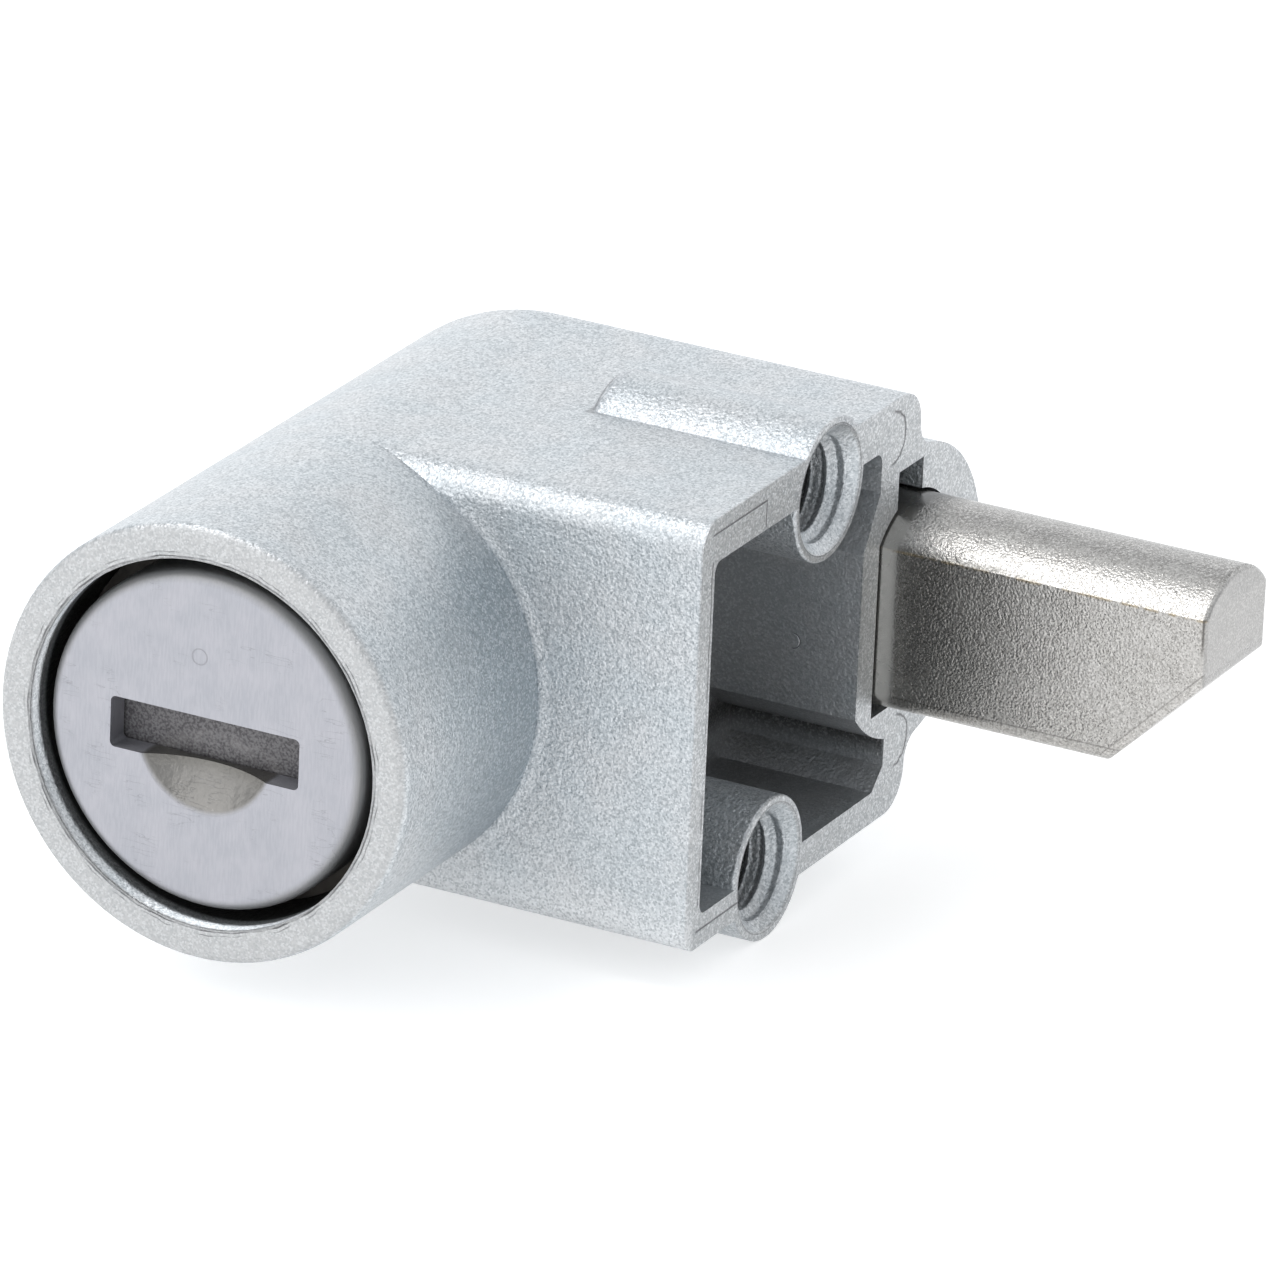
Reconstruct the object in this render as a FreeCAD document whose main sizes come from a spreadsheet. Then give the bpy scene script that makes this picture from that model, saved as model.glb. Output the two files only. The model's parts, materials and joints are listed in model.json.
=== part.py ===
import FreeCAD, Part

import os
import re

import Sketcher
from FreeCAD import Rotation, Vector

# Bike battery lock, in millimetres.
# Origin: centre of the barrel's front ring face. +X along the bolt, +Y back along the barrel, +Z up.

doc = FreeCAD.newDocument("bike_battery_lock")
sheet = doc.addObject("Spreadsheet::Sheet", "sizes")

# Driving dimensions: every size that can be set by itself.
DRIVING = {
    # housing
    "barrel_radius": 10.0,
    "barrel_wall": 1.55,
    "ring_edge_round": 0.4,
    "block_front": 12.0,
    "block_end": 17.67,
    "back_plane_offset": 0.3,
    "front_top_round": 1.3,
    "front_bottom_round": 0.8,
    "back_edge_round": 1.8,
    "bore_end_wall": 1.55,
    "bulge_radius": 7.0,
    "bulge_taper": 1.35,
    "bulge_end": 8.3,
    "bulge_blend": 1.3,
    "bulge_blend_reach": 4.0,
    # pocket in the end face
    "pocket_front_wall": 1.2,
    "pocket_top_wall": 2.05,
    "pocket_floor_wall": 1.5,
    "pocket_bottom_wall": 1.6,
    "guide_wall": 1.55,
    "guide_shoulder_z": 3.5,
    "guide_slit_z": 6.0,
    "guide_slit_setback": 1.4,
    "guide_tube_radius": 6.5,
    "guide_tube_reach": 3.0,
    "pocket_corner_share": 0.44,
    "pocket_front_round": 0.5,
    "slit_round_share": 0.3,
    "rim_round": 0.15,
    # screw bosses
    "boss_radius": 3.3,
    "thread_radius": 2.5,
    "thread_depth": 9.0,
    "thread_mouth_cut": 0.45,
    "upper_boss_start": 6.9,
    "upper_boss_y": 24.05,
    "upper_boss_sink": 2.2,
    "lower_boss_start": 2.0,
    "lower_boss_y": 19.8,
    "lower_boss_sink": 1.4,
    "boss_end_round": 0.6,
    # bolt
    "screw_room": 0.51,
    "bolt_width": 6.26,
    "bolt_top": 4.81,
    "bolt_crown_radius": 4.1,
    "bolt_bottom": 4.42,
    "bolt_tip": 33.6,
    "ramp_length": 4.6,
    "ramp_rise": 4.65,
    "bolt_edge_round": 0.9,
    "tip_edge_round": 0.25,
    "tail_top": 2.5,
    "lug_thickness": 1.6,
    "lug_width": 2.1,
    "lug_top": 6.25,
    "lug_corner_cut": 0.5,
    "lug_offset": 0.45,
    "bolt_clearance": 0.15,
    "bolt_bottom_clearance": 0.38,
    "slam_clearance": 0.3,
    "end_clearance": 0.45,
    # bolt spring
    "spring_hole_offset": 0.35,
    "spring_hole_z": 0.95,
    "spring_hole_radius": 2.1,
    "spring_hole_depth": 12.0,
    "spring_coil_radius": 1.62,
    "spring_wire_radius": 0.24,
    "spring_turns": 9,
    # cam and finger
    "finger_margin": 1.45,
    "finger_radius": 0.85,
    "finger_gap": 0.25,
    "finger_end_setback": 0.2,
    "cam_gap": 0.85,
    "cam_thickness": 2.8,
    "washer_radius": 3.6,
    "washer_thickness": 0.5,
    "screw_head_radius": 2.6,
    "screw_head_height": 1.4,
    "screw_radius": 1.25,
    "screw_length": 6.0,
    "screw_slot_width": 0.7,
    "screw_slot_depth": 0.8,
    "square_tail": 5.0,
    # key cylinder
    "cap_recess": 0.35,
    "cap_thickness": 1.2,
    "cap_rim_round": 0.6,
    "cap_skirt_length": 1.7,
    "cap_skirt_wall": 0.6,
    "cap_gap": 0.7,
    "slot_corner_round": 0.25,
    "turning_clearance": 0.06,
    "fixed_clearance": 0.03,
    "head_gap": 0.1,
    "plug_web": 1.55,
    "slot_height": 2.35,
    "guide_dish_radius": 3.3,
    "guide_dish_depth": 1.0,
    "shell_wall": 2.16,
    "shell_gap": 0.8,
    "shell_length": 17.5,
    "clip_thickness": 0.8,
    "clip_overhang": 0.9,
    "clip_gap": 8.0,
    "plug_end_margin": 1.8,
    "clip_depth": 1.0,
    "keyway_end_margin": 0.95,
    "shell_pin_radius": 1.1,
    "shell_pin_setback": 5.55,
    "shell_pin_z": 4.5,
    "shell_pin_cover": 0.77,
    "shell_pin_sink": 0.15,
    # wafers
    "wafer_count": 6,
    "first_wafer_margin": 3.95,
    "wafer_end_margin": 2.05,
    "wafer_thickness": 1.0,
    "wafer_height": 4.4,
    "wafer_window_room": 0.12,
    "wafer_travel": 0.8,
    "wafer_clearance": 0.05,
    "groove_room": 0.3,
    "wafer_ear_side": 0.2,
    "wafer_ear_width": 0.9,
    "wafer_ear_height": 1.6,
    "wafer_coil_radius": 0.34,
    "wafer_wire_radius": 0.1,
    "wafer_spring_margin": 2.8,
    "wafer_spring_turns": 4,
    # dust shutter
    "shutter_thickness": 0.5,
    "shutter_gap": 0.1,
    "shutter_room": 0.3,
    "shutter_pin_margin": 0.6,
    "shutter_pin_radius": 0.4,
    "shutter_pin_z": 2.2,
    "shutter_knuckle_radius": 0.7,
    "shutter_overlap": 0.32,
    "shutter_side_overlap": 0.2,
    "shutter_coil_width": 1.5,
    "shutter_wire_radius": 0.11,
    "shutter_coil_turns": 4,
}

# Sizes that follow from the driving ones.
DERIVED = {
    # key cylinder, from the front backwards
    "bore_radius": "barrel_radius - barrel_wall",
    "shell_outer_radius": "bore_radius - fixed_clearance",
    "shell_inner_radius": "shell_outer_radius - shell_wall",
    "plug_radius": "shell_inner_radius - turning_clearance",
    "slot_width": "2 * (plug_radius - plug_web)",
    "half_slot_height": "slot_height / 2",
    "half_slot_width": "slot_width / 2",
    "cap_radius": "bore_radius - cap_gap",
    "cap_back": "cap_recess + cap_thickness",
    "cap_skirt_end": "cap_back + cap_skirt_length",
    "cap_inner_radius": "cap_radius - cap_skirt_wall",
    "head_radius": "cap_inner_radius - fixed_clearance",
    "dish_sphere_radius": "(guide_dish_radius ^ 2 + guide_dish_depth ^ 2) / (2 * guide_dish_depth)",
    "dish_bottom": "cap_recess + guide_dish_depth",
    "dish_centre_y": "dish_bottom - dish_sphere_radius",
    "shell_start": "cap_skirt_end + shell_gap",
    "head_end": "shell_start - head_gap",
    "shell_end": "shell_start + shell_length",
    "keyway_end": "shell_end - keyway_end_margin",
    "clip_start": "shell_end + turning_clearance",
    "clip_end": "clip_start + clip_thickness",
    "clip_root_radius": "plug_radius - clip_depth",
    "plug_end": "clip_end + plug_end_margin",
    "tail_end": "plug_end + cam_thickness",
    "washer_end": "tail_end + washer_thickness",
    "screw_head_end": "washer_end + screw_head_height",
    "cam_radius": "bore_radius - cam_gap",
    "finger_orbit": "cam_radius - finger_radius - finger_margin",
    # wafers
    "first_wafer_y": "shell_start + first_wafer_margin",
    "last_wafer_end": "shell_end - wafer_end_margin",
    "wafer_pitch": "(last_wafer_end - wafer_thickness - first_wafer_y) / (wafer_count - 1)",
    "wafer_window_height": "slot_height + 2 * wafer_window_room",
    "wafer_window_width": "slot_width + 2 * wafer_window_room",
    "wafer_spring_length": "plug_radius - wafer_spring_margin",
    "groove_radius": "plug_radius + wafer_travel + groove_room",
    "groove_half_height": "wafer_height / 2 + groove_room",
    "wafer_top": "wafer_height / 2",
    "ear_top": "wafer_top + wafer_ear_height",
    # dust shutter
    "shutter_front": "cap_back + shutter_gap",
    "shutter_pin_y": "shutter_front + shutter_knuckle_radius",
    "shutter_pin_length": "2 * (plug_radius - shutter_pin_margin)",
    "shutter_low": "half_slot_height + shutter_overlap",
    "shutter_half_width": "half_slot_width + shutter_side_overlap",
    "shutter_reach": "shutter_pin_z + shutter_low",
    "shutter_back": "shutter_front + shutter_thickness",
    "shutter_coil_radius": "shutter_pin_radius + shutter_wire_radius + turning_clearance",
    "recess_end": "shutter_pin_y + shutter_reach + shutter_room",
    "recess_top": "shutter_pin_z + shutter_knuckle_radius + shutter_gap",
    "recess_bottom": "shutter_low + shutter_room",
    "recess_half_width": "shutter_half_width + shutter_gap",
    # bolt, behind the cam's screw, and its window
    "bolt_centre_y": "screw_head_end + screw_room + bolt_width / 2",
    "bolt_front": "bolt_centre_y - bolt_width / 2",
    "bolt_back": "bolt_centre_y + bolt_width / 2",
    "bolt_crown_centre_z": "bolt_top - bolt_crown_radius",
    "finger_side": "finger_orbit * cos(45deg)",
    "bolt_travel": "2 * finger_side",
    "lug_right": "finger_side - finger_radius - finger_gap",
    "lug_left": "lug_right - lug_thickness",
    "lug_front": "bolt_centre_y - lug_offset - lug_width / 2",
    "lug_back": "lug_front + lug_width",
    "finger_end": "lug_back - finger_end_setback",
    "bolt_shoulder": "finger_side + finger_radius + bolt_travel + slam_clearance",
    "ramp_start": "bolt_tip - ramp_length",
    "ramp_top_z": "ramp_rise - bolt_bottom",
    "beyond_tip": "bolt_tip + 1",
    "below_bolt": "bolt_bottom + 1",
    "spring_hole_y": "bolt_centre_y + spring_hole_offset",
    "window_front": "bolt_front - bolt_clearance",
    "window_back": "bolt_back + bolt_clearance",
    "window_bottom": "bolt_bottom + bolt_bottom_clearance",
    "window_crown_radius": "bolt_crown_radius + bolt_clearance",
    "notch_front": "lug_front - bolt_clearance",
    "notch_back": "lug_back + bolt_clearance",
    "notch_top": "lug_top + bolt_clearance",
    "tail_channel_top": "tail_top + bolt_clearance",
    "tail_channel_end": "bolt_travel - lug_left + end_clearance",
    "bolt_channel_end": "bolt_shoulder - bolt_travel - slam_clearance",
    # housing
    "back_plane": "bolt_centre_y + back_plane_offset",
    "bore_end": "back_plane - bore_end_wall",
    "bulge_shoulder": "bulge_end - bulge_taper",
    "bulge_end_radius": "bulge_radius - bulge_taper",
    "blend_centre_y": "back_plane + bulge_blend",
    "blend_z": "sqrt((bulge_radius + bulge_blend) ^ 2 - (back_plane_offset + bulge_blend) ^ 2)",
    "blend_share": "bulge_radius / (bulge_radius + bulge_blend)",
    "blend_touch_y": "bolt_centre_y + (back_plane_offset + bulge_blend) * blend_share",
    "blend_touch_z": "blend_z * blend_share",
    "pocket_front": "block_front + pocket_front_wall",
    "pocket_ceiling": "barrel_radius - pocket_top_wall",
    "pocket_floor": "barrel_radius - pocket_floor_wall",
    "pocket_depth": "block_end - bore_radius - pocket_bottom_wall",
    "guide_face": "window_front - guide_wall",
    "slit_face": "guide_face + guide_slit_setback",
    "slit_round": "slit_round_share * (pocket_ceiling - guide_slit_z)",
    "guide_low_y": "guide_face + guide_tube_reach",
    "guide_low_z": "sqrt(guide_tube_radius ^ 2 - (bolt_centre_y - guide_low_y) ^ 2)",
    "pocket_corner_cut": "pocket_corner_share * (pocket_floor - guide_low_z)",
    "upper_boss_z": "barrel_radius - upper_boss_sink",
    "lower_boss_z": "barrel_radius - lower_boss_sink",
    "boss_inner_radius": "boss_radius - boss_end_round",
    "upper_boss_shoulder": "upper_boss_start + boss_end_round",
    "lower_boss_shoulder": "lower_boss_start + boss_end_round",
    "shell_pin_y": "shell_end - shell_pin_setback",
    "shell_pin_start": "sqrt((shell_inner_radius + shell_pin_cover) ^ 2 - shell_pin_z ^ 2)",
    "shell_pin_end": "bore_radius + pocket_bottom_wall - shell_pin_sink",
}


def write_sheet():
    """Put every size into the sheet, one row each, under its own name."""
    rows = [(name, str(value)) for name, value in DRIVING.items()]
    rows += [(name, "=" + formula) for name, formula in DERIVED.items()]
    for row, (name, content) in enumerate(rows, start=1):
        sheet.set(f"A{row}", name)
        sheet.set(f"B{row}", content)
        sheet.setAlias(f"B{row}", name)
    doc.recompute()


def size(name):
    """Value of one named size; a leading minus sign flips it."""
    if name.startswith("-"):
        return -size(name[1:])
    if name == "nought":
        return 0.0
    return float(sheet.get(name))


def tie(formula):
    """Write a formula of named sizes as an expression on the sheet."""
    def from_sheet(match):
        word = match.group(0)
        return "sizes." + word if word in DRIVING or word in DERIVED else word
    return re.sub("[a-z_]+", from_sheet, formula.replace("nought", "0"))


# Sketch helpers

def new_body(label):
    body = doc.addObject("PartDesign::Body", label)
    body.Label = label
    return body


def new_sketch(body, name, role, offset=None):
    """A sketch on one of the body's own origin planes, moved along its normal by a named size."""
    sketch = body.newObject("Sketcher::SketchObject", name)
    plane = next(item for item in body.Origin.OriginFeatures if item.Role == role)
    sketch.AttachmentSupport = [(plane, "")]
    sketch.MapMode = "FlatFace"
    if offset:
        sketch.setExpression("AttachmentOffset.Base.z", tie(offset))
    return sketch


def pin_point(sketch, geometry, point, place):
    """Tie a point of a sketch edge to two named coordinates; a tilde leaves one to the arc beside it."""
    for kind, name in zip(("DistanceX", "DistanceY"), place):
        if name.startswith("~"):
            continue
        index = sketch.addConstraint(Sketcher.Constraint(kind, geometry, point, size(name)))
        sketch.setExpression(f"Constraints[{index}]", tie(name))


def add_circle(sketch, centre, radius):
    place = Vector(size(centre[0]), size(centre[1]), 0)
    circle = sketch.addGeometry(Part.Circle(place, Vector(0, 0, 1), size(radius)), False)
    pin_point(sketch, circle, 3, centre)
    index = sketch.addConstraint(Sketcher.Constraint("Radius", circle, size(radius)))
    sketch.setExpression(f"Constraints[{index}]", tie(radius))


def add_outline(sketch, corners, arcs=None):
    """A closed outline through named corners.

    arcs maps the index of an edge to (centre, radius, anticlockwise), and that edge becomes an arc.
    """
    arcs = arcs or {}
    count = len(corners)
    points = [Vector(*(size(name.lstrip("~")) for name in corner), 0) for corner in corners]
    edges = []
    for index in range(count):
        start, end = points[index], points[(index + 1) % count]
        if index not in arcs:
            edges.append((sketch.addGeometry(Part.LineSegment(start, end), False), 1, 2))
            continue
        centre, radius, anticlockwise = arcs[index]
        middle = Vector(size(centre[0]), size(centre[1]), 0)
        circle = Part.Circle(middle, Vector(0, 0, 1), size(radius))
        first, last = (start, end) if anticlockwise else (end, start)
        arc = Part.ArcOfCircle(circle, circle.parameter(first), circle.parameter(last))
        edge = sketch.addGeometry(arc, False)
        edges.append((edge, 1, 2) if anticlockwise else (edge, 2, 1))
    for index in range(count):
        edge, _, tail = edges[index]
        following, head, _ = edges[(index + 1) % count]
        sketch.addConstraint(Sketcher.Constraint("Coincident", edge, tail, following, head))
    for index, corner in enumerate(corners):
        edge, head, _ = edges[index]
        pin_point(sketch, edge, head, corner)
    for index, (centre, radius, _) in arcs.items():
        edge = edges[index][0]
        pin_point(sketch, edge, 3, centre)
        number = sketch.addConstraint(Sketcher.Constraint("Radius", edge, size(radius)))
        sketch.setExpression(f"Constraints[{number}]", tie(radius))


def rectangle(sketch, low_x, low_y, high_x, high_y):
    add_outline(sketch, [(low_x, low_y), (high_x, low_y), (high_x, high_y), (low_x, high_y)])


def settle(feature):
    """Build the newest feature and stop at once if it failed."""
    doc.recompute()
    if not feature.isValid() or feature.Shape.isNull():
        raise RuntimeError(f"{feature.Name} did not build")


def pad(body, name, sketch, length, backward=False):
    feature = body.newObject("PartDesign::Pad", name)
    feature.Profile = sketch
    feature.setExpression("Length", tie(length))
    feature.Reversed = backward
    settle(feature)


def pocket(body, name, sketch, length=None, backward=False):
    """Cut a sketch into the body; with no length it goes right through both ways."""
    before = body.Shape.Volume
    feature = body.newObject("PartDesign::Pocket", name)
    feature.Profile = sketch
    if length:
        feature.setExpression("Length", tie(length))
        feature.Reversed = backward
    else:
        feature.Type = "ThroughAll"
        feature.Midplane = True
    settle(feature)
    if body.Shape.Volume >= before:
        raise RuntimeError(f"{name} cuts nothing")


def turn(body, name, sketch, axis):
    """Revolve a sketch about one of its own axes."""
    feature = body.newObject("PartDesign::Revolution", name)
    feature.Profile = sketch
    feature.ReferenceAxis = (sketch, [axis])
    settle(feature)


def dress(body, kind, name, edges, amount):
    """Round or chamfer the edges that a test picks from the body's present shape."""
    base = body.Tip
    picked = [f"Edge{number}" for number, edge in enumerate(base.Shape.Edges, start=1) if edges(edge)]
    if not picked:
        raise RuntimeError(f"{name} finds no edge")
    feature = body.newObject(f"PartDesign::{kind}", name)
    feature.Base = (base, picked)
    feature.setExpression("Radius" if kind == "Fillet" else "Size", tie(amount))
    settle(feature)


def near(value, name):
    return abs(value - size(name)) < 0.01


def middle_of(edge):
    return edge.valueAt((edge.FirstParameter + edge.LastParameter) / 2)


def along_x(edge):
    ends = edge.Vertexes
    if len(ends) < 2 or edge.Curve.TypeId != "Part::GeomLine":
        return False
    return abs(edge.tangentAt(edge.FirstParameter).x) > 0.999


# Housing

def make_housing():
    body = new_body("housing")

    block = new_sketch(body, "block_outline", "XZ_Plane", "-block_front")
    rectangle(block, "nought", "-barrel_radius", "block_end", "barrel_radius")
    pad(body, "block", block, "back_plane - block_front", backward=True)

    def front_edge(edge, height):
        point = middle_of(edge)
        return along_x(edge) and near(point.y, "block_front") and near(point.z, height)

    def front_top(edge):
        return front_edge(edge, "barrel_radius")

    def front_bottom(edge):
        return front_edge(edge, "-barrel_radius")

    dress(body, "Fillet", "front_top_edge", front_top, "front_top_round")
    dress(body, "Fillet", "front_bottom_edge", front_bottom, "front_bottom_round")

    barrel = new_sketch(body, "barrel_circle", "XZ_Plane")
    add_circle(barrel, ("nought", "nought"), "barrel_radius")
    pad(body, "barrel", barrel, "back_plane", backward=True)

    def ring_edge(edge):
        return near(middle_of(edge).y, "nought") and abs(edge.BoundBox.YLength) < 0.01

    dress(body, "Fillet", "ring_round", ring_edge, "ring_edge_round")

    def back_rim(edge):
        point = middle_of(edge)
        inside_end = point.x < size("block_end") - 0.01
        return near(point.y, "back_plane") and inside_end and abs(edge.BoundBox.YLength) < 0.01

    dress(body, "Fillet", "back_rounds", back_rim, "back_edge_round")

    bulge = new_sketch(body, "bulge_profile", "XY_Plane")
    bulge.setExpression("AttachmentOffset.Base.y", tie("bolt_centre_y"))
    add_outline(
        bulge,
        [
            ("-bulge_end", "nought"),
            ("block_end", "nought"),
            ("block_end", "bulge_radius"),
            ("-bulge_shoulder", "bulge_radius"),
            ("-bulge_end", "bulge_end_radius"),
        ],
    )
    turn(body, "bulge", bulge, "H_Axis")

    for side, sign, anticlockwise in (("upper", "", True), ("lower", "-", False)):
        blend = new_sketch(body, f"{side}_blend_outline", "YZ_Plane", "block_end")
        add_outline(
            blend,
            [
                ("~back_plane", f"{sign}blend_z"),
                ("blend_touch_y", f"~{sign}blend_touch_z"),
                ("bolt_centre_y", f"{sign}blend_touch_z"),
                ("bolt_centre_y", f"{sign}blend_z"),
            ],
            {0: (("blend_centre_y", f"{sign}blend_z"), "bulge_blend", anticlockwise)},
        )
        pad(body, f"{side}_blend", blend, "block_end + bulge_blend_reach", backward=True)

    end_pocket = new_sketch(body, "pocket_outline", "YZ_Plane", "block_end")
    add_outline(
        end_pocket,
        [
            ("pocket_front", "-pocket_floor"),
            ("pocket_front", "pocket_ceiling"),
            ("slit_face", "pocket_ceiling"),
            ("slit_face", "guide_slit_z"),
            ("guide_face", "guide_shoulder_z"),
            ("guide_face", "~-guide_shoulder_z"),
            ("guide_low_y", "~-guide_slit_z"),
            ("guide_low_y", "-pocket_floor"),
        ],
        {5: (("bolt_centre_y", "nought"), "guide_tube_radius", True)},
    )
    pocket(body, "end_pocket", end_pocket, "pocket_depth")

    def low_corner(edge):
        point = middle_of(edge)
        return along_x(edge) and near(point.y, "guide_low_y") and near(-point.z, "pocket_floor")

    dress(body, "Chamfer", "pocket_corner", low_corner, "pocket_corner_cut")

    def front_corner(edge):
        return along_x(edge) and near(middle_of(edge).y, "pocket_front")

    dress(body, "Fillet", "pocket_front_corners", front_corner, "pocket_front_round")

    def slit_corner(edge):
        point = middle_of(edge)
        return along_x(edge) and near(point.y, "slit_face") and near(point.z, "pocket_ceiling")

    dress(body, "Fillet", "slit_end", slit_corner, "slit_round")

    for side, sign in (("upper", ""), ("lower", "-")):
        boss = new_sketch(body, f"{side}_boss_profile", "XY_Plane")
        boss.setExpression("AttachmentOffset.Base.y", tie(f"{side}_boss_y"))
        boss.setExpression("AttachmentOffset.Base.z", tie(f"{sign}{side}_boss_z"))
        add_outline(
            boss,
            [
                (f"{side}_boss_start", "nought"),
                ("block_end", "nought"),
                ("block_end", "boss_radius"),
                (f"{side}_boss_shoulder", "~boss_radius"),
                (f"~{side}_boss_start", "boss_inner_radius"),
            ],
            {3: ((f"{side}_boss_shoulder", "boss_inner_radius"), "boss_end_round", True)},
        )
        turn(body, f"{side}_boss", boss, "H_Axis")

    tail_channel = new_sketch(body, "tail_channel_outline", "YZ_Plane", "block_end")
    rectangle(tail_channel, "window_front", "-window_bottom", "window_back", "tail_channel_top")
    pocket(body, "tail_channel", tail_channel, "block_end + tail_channel_end")

    window = new_sketch(body, "window_outline", "YZ_Plane", "block_end")
    add_outline(
        window,
        [
            ("window_front", "-window_bottom"),
            ("window_back", "-window_bottom"),
            ("window_back", "~guide_shoulder_z"),
            ("window_front", "~guide_shoulder_z"),
        ],
        {2: (("bolt_centre_y", "bolt_crown_centre_z"), "window_crown_radius", True)},
    )
    pocket(body, "window", window, "block_end - bolt_channel_end")

    notch = new_sketch(body, "notch_outline", "YZ_Plane", "block_end")
    rectangle(notch, "notch_front", "nought", "notch_back", "notch_top")
    pocket(body, "notch", notch, "block_end + tail_channel_end")

    bore = new_sketch(body, "bore_circle", "XZ_Plane")
    add_circle(bore, ("nought", "nought"), "bore_radius")
    pocket(body, "bore", bore, "bore_end")

    for side, sign in (("upper", ""), ("lower", "-")):
        hole = new_sketch(body, f"{side}_hole_circle", "YZ_Plane", "block_end")
        add_circle(hole, (f"{side}_boss_y", f"{sign}{side}_boss_z"), "thread_radius")
        pocket(body, f"{side}_hole", hole, "thread_depth")

    def hole_mouth(edge):
        if edge.Curve.TypeId != "Part::GeomCircle":
            return False
        return near(middle_of(edge).x, "block_end") and near(edge.Curve.Radius, "thread_radius")

    dress(body, "Chamfer", "hole_mouths", hole_mouth, "thread_mouth_cut")

    def boss_rim(edge):
        """The part of a boss's end edge that hangs in the pocket."""
        if edge.Curve.TypeId != "Part::GeomCircle" or not near(edge.Curve.Radius, "boss_radius"):
            return False
        point = middle_of(edge)
        return near(point.x, "block_end") and abs(point.z) < size("pocket_floor")

    dress(body, "Fillet", "boss_rims", boss_rim, "rim_round")

    pin_hole = new_sketch(body, "shell_pin_circle", "YZ_Plane", "block_end")
    add_circle(pin_hole, ("shell_pin_y", "-shell_pin_z"), "shell_pin_radius")
    pocket(body, "shell_pin_hole", pin_hole, "block_end - shell_pin_start")
    return body


# Bolt

def make_bolt():
    body = new_body("bolt")

    section = new_sketch(body, "bolt_section", "YZ_Plane", "bolt_shoulder")
    add_outline(
        section,
        [
            ("bolt_front", "-bolt_bottom"),
            ("bolt_back", "-bolt_bottom"),
            ("bolt_back", "~guide_shoulder_z"),
            ("bolt_front", "~guide_shoulder_z"),
        ],
        {2: (("bolt_centre_y", "bolt_crown_centre_z"), "bolt_crown_radius", True)},
    )
    pad(body, "bolt_bar", section, "bolt_tip - bolt_shoulder")

    tail = new_sketch(body, "tail_section", "YZ_Plane", "bolt_shoulder")
    rectangle(tail, "bolt_front", "-bolt_bottom", "bolt_back", "tail_top")
    pad(body, "bolt_tail", tail, "bolt_shoulder - lug_left", backward=True)

    lug = new_sketch(body, "lug_section", "YZ_Plane", "lug_left")
    rectangle(lug, "lug_front", "nought", "lug_back", "lug_top")
    pad(body, "bolt_lug", lug, "lug_thickness")

    def lug_corner(edge):
        point = middle_of(edge)
        return near(point.x, "lug_left") and near(point.z, "lug_top")

    dress(body, "Chamfer", "lug_corner", lug_corner, "lug_corner_cut")

    def low_edge(edge):
        return along_x(edge) and abs(middle_of(edge).z + size("bolt_bottom")) < 0.01

    dress(body, "Fillet", "bolt_low_rounds", low_edge, "bolt_edge_round")

    ramp = new_sketch(body, "ramp_triangle", "XZ_Plane", "-bolt_centre_y")
    add_outline(
        ramp,
        [
            ("ramp_start", "-bolt_bottom"),
            ("bolt_tip", "ramp_top_z"),
            ("beyond_tip", "ramp_top_z"),
            ("beyond_tip", "-below_bolt"),
            ("ramp_start", "-below_bolt"),
        ],
    )
    pocket(body, "ramp", ramp)

    def tip_edge(edge):
        point = middle_of(edge)
        on_tip = near(point.x, "bolt_tip") and abs(edge.BoundBox.XLength) < 0.01
        across = abs(edge.BoundBox.YLength) > size("bolt_width") / 2
        ramp_line = point.x > size("ramp_start") - 0.01 and point.z < size("ramp_top_z") + 0.01
        return on_tip or (ramp_line and across)

    dress(body, "Fillet", "tip_rounds", tip_edge, "tip_edge_round")

    spring_hole = new_sketch(body, "spring_hole_circle", "YZ_Plane", "lug_left")
    add_circle(spring_hole, ("spring_hole_y", "-spring_hole_z"), "spring_hole_radius")
    pocket(body, "spring_hole", spring_hole, "spring_hole_depth", backward=True)
    return body


# Shapes for the pieces that are turned, stamped or coiled

def cylinder_turned(rotation, name, radius, start, end):
    cylinder = doc.addObject("Part::Cylinder", name)
    cylinder.Placement.Rotation = rotation
    cylinder.setExpression("Radius", tie(radius))
    cylinder.setExpression("Height", tie(f"({end}) - ({start})"))
    return cylinder


def cylinder_along_y(name, radius, start, end, x="nought", z="nought"):
    cylinder = cylinder_turned(Rotation(Vector(1, 0, 0), -90), name, radius, start, end)
    for axis, formula in zip("xyz", (x, start, z)):
        cylinder.setExpression(f"Placement.Base.{axis}", tie(formula))
    return cylinder


def cylinder_along_x(name, radius, start, end, y="nought", z="nought"):
    cylinder = cylinder_turned(Rotation(Vector(0, 1, 0), 90), name, radius, start, end)
    for axis, formula in zip("xyz", (start, y, z)):
        cylinder.setExpression(f"Placement.Base.{axis}", tie(formula))
    return cylinder


def block_between(name, xs, ys, zs):
    """A box given by its low and high place on each axis."""
    box = doc.addObject("Part::Box", name)
    for side, axis, (low, high) in zip(("Length", "Width", "Height"), "xyz", (xs, ys, zs)):
        box.setExpression(side, tie(f"({high}) - ({low})"))
        box.setExpression(f"Placement.Base.{axis}", tie(low))
    return box


def both_sides(half):
    return f"-({half})", half


def fused(name, shapes):
    if len(shapes) == 1:
        return shapes[0]
    group = doc.addObject("Part::MultiFuse", name)
    group.Shapes = shapes
    return group


def carved(name, base, tools):
    cut = doc.addObject("Part::Cut", name)
    cut.Base = base
    cut.Tool = fused(name + "_tools", tools)
    return cut


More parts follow.
